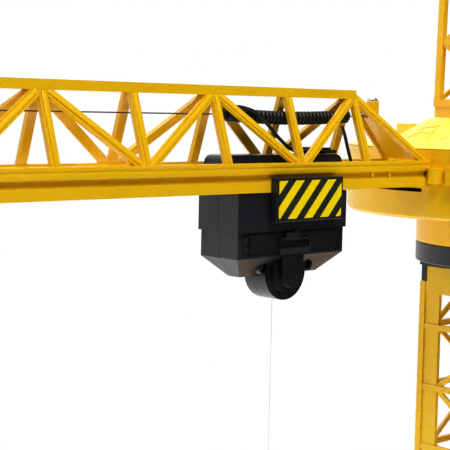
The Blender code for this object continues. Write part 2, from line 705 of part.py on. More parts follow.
def make_head():
    low = roof_top + GAP
    side, top_side = HEAD_SIDE / 2, HEAD_TOP_SIDE / 2
    frame_low = low + HEAD_COLLAR
    frame_top = frame_low + HEAD_FRAME_HEIGHT
    height = HEAD_PANEL * HEAD_PANELS
    wide, narrow = side + HEAD_FRAME_PROUD, side + HEAD_FRAME_PROUD - 1.0
    collar = box((-narrow, -narrow, low), (narrow, narrow, frame_low + 1))
    blanks = [collar, box((-wide, -wide, frame_low), (wide, wide, frame_top))]
    cuts = [box((-side + 7, -side + 7, low - 5), (side - 7, side - 7, frame_top + 5))]
    ring = fuse(blanks, cuts)

    def corner(z):
        return side + (top_side - side) * (z - frame_top) / height - HEAD_POST / 2

    low_c, high_c = corner(frame_top), corner(frame_top + height)
    post = bar((-low_c, -low_c, frame_top - 3), (-high_c, -high_c, frame_top + height), HEAD_POST,
               HEAD_POST, (0, -1, 0))
    parts = [ring, *around(post)]
    for level in range(1, HEAD_PANELS + 1):
        z = frame_top + level * HEAD_PANEL - (4 if level == HEAD_PANELS else 0)
        c = corner(z)
        rail = box((-c, -c - 1.6, z - HEAD_BAR / 2), (c, -c + 1.6, z + HEAD_BAR / 2))
        parts += around(rail)
    for panel in range(HEAD_PANELS):
        z0, z1 = frame_top + panel * HEAD_PANEL, frame_top + (panel + 1) * HEAD_PANEL
        z0 -= 1.0 if panel == 0 else 0
        z1 -= 4.0 if panel == HEAD_PANELS - 1 else 0
        c0, c1 = corner(z0), corner(z1)
        side_sign = 1 if panel % 2 == 0 else -1
        brace = bar((side_sign * c0, -c0, z0), (-side_sign * c1, -c1, z1), HEAD_BRACE, 2.2,
                    (0, -1, 0))
        parts += around(brace)
    add("tower_head", fuse(parts), yellow)
    cap_low = frame_top + height + GAP
    half = top_side + 1.5
    cap = box((-half, -half, cap_low), (half, half, cap_low + 8))
    crown = box((-half + 3, -half + 3, cap_low + 7.5), (half - 3, half - 3, cap_low + HEAD_CAP_HEIGHT))
    cap = fuse([cap, crown], [box((-half + 5, -half + 5, cap_low - 5),
                                  (half - 5, half - 5, cap_low + HEAD_CAP_HEIGHT - 2.5))])
    add("head_cap", cap, yellow)
    return cap_low + HEAD_CAP_HEIGHT


# ---- jib

def foot_point(x, side):
    return Vector((x, side * (JIB_HALF_WIDTH - JIB_BRACE_DEPTH / 2 - 0.4), foot - 1.5))


def apex_point(x, side):
    return Vector((x, side * 1.9, foot + JIB_TOP - JIB_TOP_BAR / 2 - 1.2))


def chord_outline():
    """The bottom chord's section: y outward, z up, about the middle plane and foot level."""
    face = JIB_HALF_WIDTH
    inner = face - CHORD_BAR_WIDTH
    floor = face - GROOVE_DEPTH
    lip = face - LEDGE_WIDTH
    return [(inner, CHORD_BAR_TOP), (face, CHORD_BAR_TOP), (face, CHORD_BAR_BOTTOM),
            (floor, CHORD_BAR_BOTTOM), (floor, GROOVE_BOTTOM), (face, GROOVE_BOTTOM),
            (face, FLANGE_BOTTOM), (lip, FLANGE_BOTTOM), (lip, LEDGE_TOP), (inner, LEDGE_TOP)]


def bottom_chord(x0, x1, side):
    points = [(side * y, z) for y, z in chord_outline()]
    turn = Matrix(((0, 0, 1, (x0 + x1) / 2), (1, 0, 0, 0), (0, 1, 0, foot), (0, 0, 0, 1)))
    return outline(points, x1 - x0, turn)


def outward(side):
    return (0, side * (JIB_TOP - 4), JIB_HALF_WIDTH - 2)


def jib_members(x_root, bays, root_slope, tip_slope):
    """Uprights at every foot and diagonals that zigzag, both sides; x runs to -X."""
    blanks = []
    for side in (-1, 1):
        for bay in range(bays + 1):
            x = x_root - bay * JIB_PITCH
            at_end = (bay == 0 and root_slope) or (bay == bays and tip_slope)
            if not at_end:
                shift = {0: -JIB_UPRIGHT / 2 - 0.5, bays: JIB_UPRIGHT / 2 + 0.5}.get(bay, 0)
                blanks.append(bar(foot_point(x + shift, side), apex_point(x + shift, side),
                                  JIB_UPRIGHT, JIB_BRACE_DEPTH, outward(side), 1.0))
            if bay == bays:
                break
            x_next = x - JIB_PITCH
            rising = bay % 2 == 0
            start = foot_point(x, side) if rising else apex_point(x, side)
            end = apex_point(x_next, side) if rising else foot_point(x_next, side)
            if (bay == 0 and not root_slope) or (bay == bays - 1 and not tip_slope):
                drawn = (end - start).normalized() * 5
                start, end = (start + drawn, end) if bay == 0 else (start, end - drawn)
            blanks.append(bar(start, end, JIB_BRACE, JIB_BRACE_DEPTH - 0.5, outward(side), 1.0))
    return blanks


def make_jib():
    x_root = -jib_root
    x_splice = x_root - JIB_INNER_BAYS * JIB_PITCH
    x_tip = x_splice - JIB_OUTER_BAYS * JIB_PITCH
    saddle = rod((0, 0, foot - 60), (0, 0, foot + 30), DRUM_RADIUS + GAP, 96)
    pin_x, pin_z = root_pin_place()
    pin_hole = rod((pin_x, -36, pin_z), (pin_x, 36, pin_z), ROOT_PIN_RADIUS + GAP, 12)
    top_low = foot + JIB_TOP - JIB_TOP_BAR
    half_top = JIB_TOP_WIDTH / 2

    blanks = [bottom_chord(x_splice + GAP / 2, x_root + 3.0, -1),
              bottom_chord(x_splice + GAP / 2, x_root + 3.0, 1),
              box((x_splice + GAP / 2, -half_top, top_low), (x_root - JIB_PITCH + 2, half_top,
                                                            foot + JIB_TOP))]
    blanks += jib_members(x_root, JIB_INNER_BAYS, True, False)
    for x in [x_root - place for place in GROOVE_RIBS]:
        for side in (-1, 1):
            floor = side * (JIB_HALF_WIDTH - GROOVE_DEPTH - 0.5)
            face = side * (JIB_HALF_WIDTH - 0.5)
            near, far = sorted((floor, face))
            blanks.append(box((x - 1, near, foot + GROOVE_BOTTOM - 1),
                              (x + 1, far, foot + CHORD_BAR_BOTTOM + 1)))
    blanks.append(box((x_root - 2.5, -JIB_HALF_WIDTH + 2, foot - 4.8),
                      (x_root + 2.5, JIB_HALF_WIDTH - 2, foot + 1.5)))
    add("jib_inner", fuse(blanks, [saddle, pin_hole]), yellow)
    half_pin = ROOT_PIN_HALF_LENGTH
    add("jib_root_pin", rod((pin_x, -half_pin, pin_z), (pin_x, half_pin, pin_z), ROOT_PIN_RADIUS, 12),
        steel, (pin_x, 0, pin_z))

    blanks = [bottom_chord(x_tip - 4, x_splice - GAP / 2, -1),
              bottom_chord(x_tip - 4, x_splice - GAP / 2, 1),
              box((x_tip + JIB_PITCH - 2, -half_top, top_low), (x_splice - GAP / 2, half_top,
                                                               foot + JIB_TOP))]
    blanks += jib_members(x_splice, JIB_OUTER_BAYS, False, True)
    blanks.append(box((x_tip - 5, -JIB_HALF_WIDTH - 0.5, foot + FLANGE_BOTTOM - 0.5),
                      (x_tip - 1, JIB_HALF_WIDTH + 0.5, foot + CHORD_BAR_TOP + 0.5)))
    wire_x = x_tip + JIB_PITCH
    blanks.append(bar((wire_x, -8.2, foot + WIRE_HEIGHT), (wire_x, 8.2, foot + WIRE_HEIGHT),
                      WIRE_BRACKET, WIRE_BRACKET, (0, 0, 1)))
    add("jib_outer", fuse(blanks), yellow)

    strap = SPLICE_STRAP
    z0, z1 = top_low - 3, foot + JIB_TOP + GAP + 1.8
    clip = fuse([box((x_splice - strap / 2, -half_top - 2.4, z0),
                     (x_splice + strap / 2, half_top + 2.4, z1))],
                [box((x_splice - strap, -half_top - GAP, z0 - 5),
                     (x_splice + strap, half_top + GAP, foot + JIB_TOP + GAP)),
                 box((x_splice - JIB_UPRIGHT - 3, -20, z0 - 5),
                     (x_splice + JIB_UPRIGHT + 3, 20, foot + JIB_TOP - JIB_TOP_BAR + 2.4))])
    add("jib_splice_clip", clip, black)
    for name, side in (("jib_splice_bar_front", -1), ("jib_splice_bar_back", 1)):
        y0, y1 = sorted((side * (JIB_HALF_WIDTH - GROOVE_DEPTH + GAP), side * JIB_HALF_WIDTH))
        key = box((x_splice - strap / 2, y0, foot + GROOVE_BOTTOM + GAP),
                  (x_splice + strap / 2, y1, foot + CHORD_BAR_BOTTOM - GAP))
        add(name, key, black)
    return wire_x


def make_jib_fittings(wire_x):
    """The sloping end plate, the wire with its post and screw, and the curly cord."""
    low, top = foot_point(-jib_root, 1), apex_point(-jib_root - JIB_PITCH, 1)
    low.y = top.y = 0
    rise = (top - low).normalized()
    normal = Vector((rise.z, 0, -rise.x))
    across = Vector((0, -1, 0))
    length = (top - low).length

    def on_plate(z):
        return low + rise * ((z - low.z) / rise.z)

    wire_z = foot + WIRE_HEIGHT
    hole_at = on_plate(wire_z)
    inset = JIB_BRACE_DEPTH / 2 + 2.6
    foot_half = JIB_HALF_WIDTH - inset
    start, stop = 9.0, length - 17.0
    narrow = foot_half * (1 - stop / length)
    wide = foot_half * (1 - start / length)
    corners = [(start, -wide), (stop, -narrow), (stop, narrow), (start, wide)]
    turn = Matrix((rise, across, normal)).transposed().to_4x4()
    turn.translation = low
    plate = outline(corners, END_PLATE_THICKNESS, turn)
    bore = rod(hole_at - Vector((12, 0, 0)), hole_at + Vector((12, 0, 0)), WIRE_RADIUS + 0.5, 12)
    add("jib_end_plate", fuse([plate], [bore]), yellow)
    post_x, post_r = hole_at.x + POST_OFFSET, POST_RADIUS
    lift = foot + POST_TOP
    slab = outline([(0, -30), (length, -30), (length, 30), (0, 30)], END_PLATE_THICKNESS + 2 * GAP,
                   turn)
    under = outline([(-40, -30), (length + 40, -30), (length + 40, 30), (-40, 30)], 80,
                    Matrix.Translation(-normal * 40) @ turn)
    post = fuse([rod((post_x, 0, wire_z - 16), (post_x, 0, lift), post_r, 16)], [slab, under, bore])
    add("wire_post", post, yellow)
    head = turned([(0, lift + 2.8), (2.6, lift + 2.4), (4.0, lift + 1.2), (4.0, lift + GAP),
                   (0, lift + GAP)], 16, Matrix.Translation((post_x * MM, 0, 0)))
    add("wire_post_screw", head, steel, (post_x, 0, lift))
    crimp_start = hole_at.x - CRIMP_FROM_PLATE - CRIMP_LENGTH
    lay = Matrix.Translation((crimp_start * MM, 0, wire_z * MM))
    lay = lay @ Matrix.Rotation(math.pi / 2, 4, "Y")
    add("wire_crimp", turned(ring_profile(CRIMP_RADIUS, WIRE_RADIUS + GAP, 0, CRIMP_LENGTH), 12,
                              lay), steel)

    coil_low = trolley_x - COIL_OVERHANG
    coil_high = coil_low + COIL_LENGTH
    add("guide_wire", rod((wire_x + WIRE_BRACKET / 2 + GAP, 0, wire_z), (hole_at.x + 3.0, 0, wire_z),
                          WIRE_RADIUS, 8), black)
    lay = Matrix.Translation((coil_low * MM, 0, (foot + COIL_HEIGHT) * MM))
    lay = lay @ Matrix.Rotation(math.pi / 2, 4, "Y")
    coil = turned(ring_profile(COIL_RADIUS, COIL_BORE, 0, COIL_LENGTH, 0.6), 16, lay)
    add("curly_cord", coil, rubber)

    clamp_x = trolley_x + CLAMP_START
    route = [(coil_low + 5.0, -1.2, foot + 39.95), (coil_low + 13.0, -3.6, foot + 39.7),
             (coil_low + 24.0, -6.2, foot + 36.2), (coil_low + 35.0, -6.8, foot + 28.0),
             (coil_low + 48.0, -6.2, foot + 18.0), (coil_low + 62.0, -4.4, foot + 10.8),
             (clamp_x - GAP - 5, -1.2, foot + TOP_BOX_TOP + 1.9),
             (clamp_x - GAP, 0, foot + TOP_BOX_TOP + 1.8)]
    add("cord_tail_trolley", tube(smooth_path(route, 26), CORD_RADIUS), rubber)
    entry, entry_z = -(DRUM_RADIUS - DRUM_WALL), foot + CORD_ENTRY_Z
    coil_under = foot + COIL_HEIGHT - COIL_RADIUS
    route = [(coil_high - 6.8, 0, coil_under - GAP - 0.6), (coil_high - 3.2, 0, foot + 20.0),
             (coil_high - 0.2, 0, foot + 12.0), (coil_high + 4.4, 0, foot + 1.0),
             (coil_high + 9.4, 0, foot - 8.5), (coil_high + 19.9, 0, foot - 12.6),
             (coil_high + 45.4, 0, entry_z), (entry - 1.0, 0, entry_z)]
    add("cord_tail_turret", tube(smooth_path(route, 30), CORD_RADIUS), rubber)


# ---- trolley

def trolley_blanks(shrink, front):
    """The shell's outer form, or its hollow when shrink is the wall; one half of it."""
    s = shrink
    seam = GAP / 2 if not s else -2.0

    def halved(half_depth):
        edge = half_depth - s
        return (-edge, -seam) if front else (seam, edge)

    def slab(half_length, depth, low, high, taper=None):
        y0, y1 = halved(depth)
        return box((trolley_x - half_length, y0, low), (trolley_x + half_length, y1, high), taper)

    half = SHELL_LENGTH / 2
    top = foot + FLANGE_BOTTOM - GAP - 0.1
    upper = slab(half - s, BAND_HALF_DEPTH, foot + BAND_BOTTOM + s * 0.5, top - s)
    lower = slab(half - BAND_STEP - s, BAND_HALF_DEPTH - BAND_STEP,
                 foot + LOWER_BOTTOM + (s * 0.4 if s > 0 else s), foot + BAND_BOTTOM + 2 + s * 0.5)
    hip_top = foot + LOWER_BOTTOM + 0.02
    full = BAND_HALF_DEPTH - BAND_STEP
    hip = box((trolley_x - half + BAND_STEP + s, -full + s, foot + HIP_BOTTOM + s),
              (trolley_x + half - BAND_STEP - s, full - s, hip_top + s * 0.5),
              (HIP_HALF_LENGTH - s * 0.5, HIP_HALF_DEPTH - s * 0.4))
    front_face = BARREL_FRONT + s if front else seam
    back_face = -seam if front else BARREL_BACK - s
    barrel = rod((trolley_x, front_face, winch_z), (trolley_x, back_face, winch_z),
                 BARREL_RADIUS - s, 32)
    return upper, lower, hip, barrel


def screw_places():
    return [(trolley_x + side * SCREW_SPACING / 2, foot + SCREW_Z) for side in (-1, 1)]


def raised_panel(grow):
    """The rounded panel on the front of the shell, or its clearance when it has grown."""
    face, back = -BAND_HALF_DEPTH + BAND_STEP - PANEL_PROUD - grow, -BAND_HALF_DEPTH + BAND_STEP + 1
    half, tall = PANEL_HALF_LENGTH + grow, (PANEL_TOP - PANEL_BOTTOM) / 2 + grow
    r = PANEL_CORNER + grow
    corners = ((half - r, tall - r, 0), (r - half, tall - r, 90), (r - half, r - tall, 180),
               (half - r, r - tall, 270))
    points = [(x + r * math.cos(math.radians(start + a)), z + r * math.sin(math.radians(start + a)))
              for x, z, start in corners for a in (0, 22.5, 45, 67.5, 90)]
    turn = Matrix(((1, 0, 0, trolley_x + PANEL_OFFSET), (0, 0, -1, (face + back) / 2),
                   (0, 1, 0, foot + (PANEL_TOP + PANEL_BOTTOM) / 2), (0, 0, 0, 1)))
    return outline(points, back - face, turn)


def make_shell(name, front):
    upper, lower, hip, barrel = trolley_blanks(0.0, front)
    cut_low, cut_high = (-GAP / 2, 40) if front else (-40, GAP / 2)
    half_space = box((trolley_x - 80, cut_low, foot - 120), (trolley_x + 80, cut_high, foot))
    hip = fuse([hip], [half_space])
    outer = fuse([upper, lower, hip, barrel, *([raised_panel(0)] if front else [])])
    bosses, recesses = [], []
    if front:
        for x, z in screw_places():
            bosses.append(rod((x, SCREW_BOSS_FACE, z), (x, -2, z), SCREW_BOSS_RADIUS, 16))
            recesses.append(rod((x, -30, z), (x, SCREW_SEAT, z), SCREW_RECESS_RADIUS, 16))
    wall = trolley_blanks(SHELL_WALL, front)
    wire_hole = box((trolley_x - 20, -6, foot - 22), (trolley_x + 20, 6, foot - 10))
    line_slot = box((trolley_x - 4, -2.5, winch_z - 26), (trolley_x + 4, 2.5, winch_z - 14))
    shell = fuse([outer], [*wall, wire_hole, line_slot])
    if front:
        shell = fuse([shell, *bosses], recesses)
    add(name, shell, black)


def make_trolley():
    make_shell("trolley_shell_front", True)
    make_shell("trolley_shell_back", False)
    half = TOP_BOX_LENGTH / 2
    depth = top_box_half_depth
    low, high = foot + FLANGE_BOTTOM, foot + TOP_BOX_TOP
    r = TOP_BOX_ROUND
    steps = [math.radians(a) for a in (0, 30, 60, 90)]
    right = [(half - r + r * math.sin(a), high - r + r * math.cos(a)) for a in steps]
    section = [(-half, low), *[(-x, z) for x, z in right[::-1]], *right, (half, low)]
    turn = Matrix(((1, 0, 0, trolley_x), (0, 0, -1, 0), (0, 1, 0, 0), (0, 0, 0, 1)))
    outer = outline(section, 2 * depth, turn)
    hollow = box((trolley_x - half + SHELL_WALL, -depth + SHELL_WALL, low - 5),
                 (trolley_x + half - SHELL_WALL, depth - SHELL_WALL, high - SHELL_WALL - 1.6))
    axle_z = foot + LEDGE_TOP + WHEEL_RADIUS + GAP
    bores = [rod((trolley_x + s * WHEEL_SPACING / 2, -20, axle_z),
                 (trolley_x + s * WHEEL_SPACING / 2, 20, axle_z), AXLE_RADIUS + AXLE_CLEARANCE, 12)
             for s in (-1, 1)]
    add("trolley_top_box", fuse([outer], [hollow, *bores]), black)
    for name, s in (("wheelset_outer", -1), ("wheelset_inner", 1)):
        x = trolley_x + s * WHEEL_SPACING / 2
        inner = depth + GAP + 0.1
        outer_end = inner + WHEEL_WIDTH
        r0, r1 = AXLE_RADIUS, WHEEL_RADIUS
        profile = [(0, outer_end), (r1, outer_end), (r1, inner), (r0, inner), (r0, -inner),
                   (r1, -inner), (r1, -outer_end), (0, -outer_end)]
        lay = Matrix.Translation((x * MM, 0, axle_z * MM)) @ Matrix.Rotation(math.pi / 2, 4, "X")
        add(name, turned(profile, 20, lay), white, (x, 0, axle_z))
    middle = trolley_x + PLATE_OFFSET
    for word, side in (("front", -1), ("back", 1)):
        length = PLATE_LENGTH / 2
        y0, y1 = BAND_HALF_DEPTH + GAP, plate_face
        rail_y = JIB_HALF_WIDTH + 0.45
        low_y, high_y = sorted((side * y0, side * y1))
        inside = sorted((side * (y0 - 4), side * rail_y))
        hollow = sorted((side * (rail_y + 2.2), side * (plate_face - 2)))
        blank = box((middle - length, low_y, foot + PLATE_BOTTOM),
                    (middle + length, high_y, foot + PLATE_TOP))
        rail_cut = box((middle - length - 5, inside[0], foot + FLANGE_BOTTOM - 0.35),
                       (middle + length + 5, inside[1], foot + PLATE_TOP + 5))
        add("side_plate_" + word, fuse([blank], [rail_cut]), black)
        low_y, high_y = sorted((side * (y1 + 0.05), side * (y1 + 0.05 + STICKER_THICKNESS)))
        m = STICKER_MARGIN
        sticker = box((middle - length + m, low_y, foot + PLATE_BOTTOM + m),
                      (middle + length - m, high_y, foot + PLATE_TOP - m))
        add("hazard_label_" + word, sticker, sticker_yellow)
    make_winch()


def make_winch():
    front, middle = BARREL_FRONT - GAP, trolley_x + 0.7
    cover_back = -BAND_HALF_DEPTH + BAND_STEP - PANEL_PROUD - GAP
    cover_face = cover_back - COVER_PLATE
    half, round_z = TONGUE_HALF_WIDTH, TONGUE_BOTTOM + TONGUE_HALF_WIDTH
    arc = [math.radians(a) for a in range(180, 361, 20)]
    points = [(half * math.cos(a), round_z + half * math.sin(a)) for a in arc]
    points += [(half, COVER_BOTTOM + 2), (-half, COVER_BOTTOM + 2)]
    turn = Matrix(((1, 0, 0, middle), (0, 0, -1, (front + TONGUE_FACE) / 2), (0, 1, 0, foot),
                   (0, 0, 0, 1)))
    tongue = outline(points, front - TONGUE_FACE, turn)
    disc = rod((trolley_x, front - COVER_DISC_THICKNESS, winch_z), (trolley_x, front, winch_z),
               COVER_DISC_RADIUS, 28)
    wide, tab = COVER_HALF_WIDTH, COVER_TAB_HALF_WIDTH
    plate = box((middle - wide, cover_face, foot + COVER_BOTTOM),
                (middle + wide, cover_back, foot + COVER_TOP))
    upper = box((middle - tab, cover_face, foot + COVER_TOP - 1),
                (middle + tab, cover_back, foot + PANEL_TOP))
    slot_top, slot_bottom = COVER_SLOT
    slot = box((middle - wide - 2, cover_face - 2, foot + slot_bottom),
               (middle + wide - 0.8, cover_face + COVER_PLATE * 0.65, foot + slot_top))
    cover = fuse([tongue, disc, plate, upper],
                 [slot, raised_panel(GAP), *trolley_blanks(-GAP, True)])
    add("winch_cover", cover, black)
    for name, (x, z) in zip(("shell_screw_left", "shell_screw_right"), screw_places()):
        screw = turned([(0, 1.6), (1.8, 1.4), (2.5, 0.5), (2.5, 0), (0, 0)], 12)
        screw.transform(Matrix.Translation((x * MM, (SCREW_SEAT - GAP) * MM, z * MM))
                        @ Matrix.Rotation(math.pi / 2, 4, "X"))
        add(name, screw, steel)
    clamp_low = foot + TOP_BOX_TOP + GAP
    x = trolley_x + CLAMP_START
    clamp = fuse([box((x, -5, clamp_low), (x + CLAMP_LENGTH, 5, clamp_low + 2.6)),
                  box((x + 1.4, -4, clamp_low + 1), (x + 10, 4, clamp_low + 4.6)),
                  box((x + 14, -3.4, clamp_low + 1), (x + 24, 3.4, clamp_low + 4.2))])
    add("cord_clamp", clamp, black)
    z = foot + TRAVEL_MOTOR_Z
    can = rod((trolley_x - 45, 0, z), (trolley_x - 20, 0, z), TRAVEL_MOTOR_RADIUS, 16)
    shaft = rod((trolley_x - 21, 0, z), (trolley_x - 12, 0, z), AXLE_RADIUS, 8)
    add("travel_motor", fuse([can, shaft]), steel)
    offset = DRIVE_OFFSET
    worm_z = winch_z + WINCH_GEAR + WORM_PLAY + WORM_OUTER_RADIUS
    add("hoist_motor", rod((trolley_x - 42, offset, worm_z), (trolley_x - 16, offset, worm_z),
                           HOIST_MOTOR_RADIUS, 16), steel)
    rings = []
    crest, root, shaft = WORM_OUTER_RADIUS, WORM_ROOT_RADIUS, WORM_SHAFT_RADIUS
    for turn_number in range(WORM_TURNS):
        start = turn_number * WORM_PITCH
        rings += [(crest, start + 0.6), (crest, start + 1.6), (root, start + 2.2),
                  (root, start + 3.0)]
    length = WORM_TURNS * WORM_PITCH
    profile = [(0, length + 6), (shaft, length + 6), (shaft, length), *rings[::-1], (root, 0),
               (shaft, 0), (shaft, -6), (0, -6)]
    lay = Matrix.Translation(((trolley_x - 9) * MM, offset * MM, worm_z * MM))
    lay = lay @ Matrix.Rotation(math.pi / 2, 4, "Y")
    add("hoist_worm", turned(profile, 8, lay), white, (trolley_x, offset, worm_z))
    face, back = BARREL_FRONT + SHELL_WALL + 0.6, BARREL_BACK - SHELL_WALL - 0.6
    core, flange, gear = WINCH_CORE, WINCH_FLANGE, WINCH_GEAR
    profile = [(0, -face), (2.5, -face), (2.5, -face - 0.8), (flange, -face - 0.8),
               (flange, -face - 2.2), (core, -face - 2.2), (core, 1.2 - 2.2), (flange, -1.0),
               (flange, -2.2), (gear, -2.2), (gear, -5.6), (2.5, -5.6), (2.5, -back), (0, -back)]
    lay = Matrix.Translation((trolley_x * MM, 0, winch_z * MM)) @ Matrix.Rotation(math.pi / 2, 4, "X")
    add("winch_drum", turned(profile, 24, lay), white, (trolley_x, 0, winch_z))
    line_top = winch_z - WINCH_CORE - 1.0
    line = rod((trolley_x, 0, line_top), (trolley_x, 0, HOOK_TOP + GAP), LINE_RADIUS, 8)
    add("hoist_line", line, nylon)


def make_hook():
    x = trolley_x
    top, low = HOOK_TOP, HOOK_TOP - HOOK_BLOCK_HEIGHT
    r = HOOK_BLOCK_RADIUS
    place = Matrix.Translation((x * MM, 0, 0))
    block = turned([(0, top), (4, top), (5, top - 5), (r - 2, top - 12), (r, top - 16),
                    (r, low + 8), (r - 3, low + 3), (7, low), (2.4, low), (2.4, low + 14),
                    (0, low + 14)], 24, place)
    add("hook_block", block, yellow, (x, 0, low))
    pin = turned([(0, low + 13), (1.9, low + 13), (1.9, low - 4), (3.6, low - 5), (3.6, low - 9),
                  (0, low - 9)], 16, place)
    arc_r = HOOK_BEND
    centre_z = low - 9 - HOOK_ROUND - arc_r
    stem = [Vector((x, 0, low - 8)), Vector((x, 0, low - 10.5))]
    arc = [Vector((x - arc_r * math.sin(math.radians(a)), 0,
                   centre_z + arc_r * math.cos(math.radians(a)))) for a in range(0, 256, 15)]
    hook_curve = tube([*stem, *arc], HOOK_ROUND, 2)
    add("hook", fuse([pin, hook_curve]), steel, (x, 0, low))


# ---- counter jib

def make_counter_jib():
    x0 = math.sqrt(DRUM_RADIUS ** 2 - 40.0 ** 2)
    x1 = DRUM_RADIUS + COUNTER_LENGTH
    half, rail = COUNTER_HALF_WIDTH, COUNTER_RAIL
    low, high = foot + COUNTER_HEIGHTS[0], foot + COUNTER_HEIGHTS[1]
    saddle = rod((0, 0, foot - 60), (0, 0, foot + 30), DRUM_RADIUS + GAP, 96)
    blanks = []
    for side in (-1, 1):
        y0, y1 = sorted((side * half, side * (half - rail)))
        blanks.append(box((x0, y0, low), (x1, y1, high)))
    blanks.append(box((x0, -half - 4, low - 2), (DRUM_RADIUS + 8, half + 4, high + 2)))
    blanks.append(box((x1 - 6, -half - 1, low - 1), (x1 + 1, half + 1, high + 1)))
    spacing = (x1 - DRUM_RADIUS) / COUNTER_BAYS
    for step in range(1, COUNTER_BAYS):
        x = DRUM_RADIUS + step * spacing
        blanks.append(box((x - 3, -half + 2, low + 3), (x + 3, half - 2, high - 3)))
        blanks.append(bar((x - 2, half - 4, low + 7), (x + spacing - 4, -half + 4, low + 7), 5.0, 6.0,
                          (0, 0, 1)))
    add("counter_jib", fuse(blanks, [saddle]), yellow)
    wx1 = x1 - 8
    wx0 = wx1 - WEIGHT_LENGTH
    w = WEIGHT_WIDTH / 2
    top = low - GAP - 1.5
    wall, inset = WEIGHT_WALL, SLUG_CLEARANCE
    floor = top - WEIGHT_HEIGHT + wall
    shell = fuse([box((wx0, -w, top - WEIGHT_HEIGHT), (wx1, w, top))],
                 [box((wx0 + wall, -w + wall, floor), (wx1 - wall, w - wall, top + 5))])
    add("counterweight_box", shell, black)
    slug_low = floor + GAP
    slug = box((wx0 + inset, -w + inset, slug_low), (wx1 - inset, w - inset, slug_low + SLUG_HEIGHT))
    add("counterweight_slug", slug, iron)


clear_scene()
pieces = new_collection("toy_tower_crane")
yellow = plastic("yellow_plastic", (0.75, 0.43, 0.02))
pale_yellow = plastic("roof_plastic", (0.80, 0.55, 0.05))
black = plastic("black_plastic", (0.02, 0.02, 0.024))
slate = plastic("slate_plastic", (0.06, 0.06, 0.08))
white = plastic("white_nylon", (0.75, 0.75, 0.72))
rubber = plastic("black_rubber", (0.03, 0.03, 0.03), 0.6)
nylon = plastic("clear_nylon", (0.85, 0.85, 0.85), 0.3)
green = plastic("green_board", (0.02, 0.18, 0.06))
sticker_yellow = plastic("sticker_yellow", (0.9, 0.72, 0.0), 0.3)
steel = plastic("steel", (0.6, 0.6, 0.62), 0.25, 1.0)
iron = plastic("cast_iron", (0.1, 0.1, 0.1), 0.7, 0.8)

make_base()
make_mast()
make_turret(make_slewing())
make_head()
make_jib_fittings(make_jib())
make_trolley()
make_hook()
make_counter_jib()
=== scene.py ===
import json
import math

import bmesh
import bpy
from mathutils import Matrix, Vector


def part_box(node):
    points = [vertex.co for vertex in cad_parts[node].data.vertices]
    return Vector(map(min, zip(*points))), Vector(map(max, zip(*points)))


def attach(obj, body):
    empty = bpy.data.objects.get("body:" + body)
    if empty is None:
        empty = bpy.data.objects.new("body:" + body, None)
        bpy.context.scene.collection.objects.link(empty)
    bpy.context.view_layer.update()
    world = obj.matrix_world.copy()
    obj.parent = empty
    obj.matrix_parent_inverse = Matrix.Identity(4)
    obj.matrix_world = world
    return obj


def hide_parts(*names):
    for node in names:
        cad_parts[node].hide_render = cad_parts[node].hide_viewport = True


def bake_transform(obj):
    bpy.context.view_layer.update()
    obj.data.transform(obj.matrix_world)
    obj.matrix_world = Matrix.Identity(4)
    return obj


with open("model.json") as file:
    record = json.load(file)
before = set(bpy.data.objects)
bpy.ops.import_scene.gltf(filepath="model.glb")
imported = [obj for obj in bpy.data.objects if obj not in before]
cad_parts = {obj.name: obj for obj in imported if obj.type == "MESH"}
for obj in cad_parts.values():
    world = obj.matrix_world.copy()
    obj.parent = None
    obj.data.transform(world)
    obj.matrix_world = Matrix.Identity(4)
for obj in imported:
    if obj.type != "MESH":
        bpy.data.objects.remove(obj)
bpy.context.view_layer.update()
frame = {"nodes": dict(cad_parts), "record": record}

# All places below are in millimetres in the crane's own frame and become metres in makePiece.
mm = 0.001
bodyOf = {node: body for body, names in frame["record"]["behaviour"]["bodies"].items() for node in names}
slotOf = {row["node"]: row["material_slot"] for row in frame["record"]["subparts"]}


def boxOf(node):
    low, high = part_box(node)
    return Vector(low) / mm, Vector(high) / mm


drumLow, drumHigh = boxOf("turret_drum")
feetAboveDrumBase = 44.4
footLevel = drumLow.z + feetAboveDrumBase       # the feet of the jib's bracing
trolleyLow, trolleyHigh = boxOf("trolley_shell_front")
trolleyX = (trolleyLow.x + trolleyHigh.x) / 2


# shader nodes and materials

def linear(hexColor):
    channels = [int(hexColor[i:i + 2], 16) / 255 for i in (1, 3, 5)]
    return (*[c / 12.92 if c <= 0.04045 else ((c + 0.055) / 1.055) ** 2.4 for c in channels], 1.0)


def addNode(tree, kind, links=(), **settings):
    node = tree.nodes.new(kind)
    for key, value in settings.items():
        if hasattr(node, key):
            setattr(node, key, value)
        else:
            node.inputs[key.replace("_", " ")].default_value = value
    for source, socket in links:
        tree.links.new(source, node.inputs[socket])
    return node


def newMaterial(name, **settings):
    material = bpy.data.materials.new(name)
    material.use_nodes = True
    tree = material.node_tree
    shader = tree.nodes["Principled BSDF"]
    for key, value in settings.items():
        shader.inputs[key.replace("_", " ")].default_value = value
    place = addNode(tree, "ShaderNodeTexCoord").outputs["Object"]
    return material, tree, shader, place


def noiseField(tree, place, sizeMm, detail=3.0, rough=0.55):
    # one blotch of the noise is about sizeMm across
    return addNode(tree, "ShaderNodeTexNoise", [(place, "Vector")], Scale=1.0 / (sizeMm * mm), Detail=detail,
                   Roughness=rough).outputs["Fac"]


def spread(tree, value, low, high, toLow, toHigh):
    return addNode(tree, "ShaderNodeMapRange", [(value, "Value")], From_Min=low, From_Max=high,
                   To_Min=toLow, To_Max=toHigh).outputs["Result"]


def tint(tree, value, stops):
    ramp = addNode(tree, "ShaderNodeValToRGB", [(value, "Fac")])
    points = ramp.color_ramp.elements
    while len(points) < len(stops):
        points.new(0.5)
    for point, (where, color) in zip(points, stops):
        point.position, point.color = where, linear(color)
    return ramp.outputs["Color"]


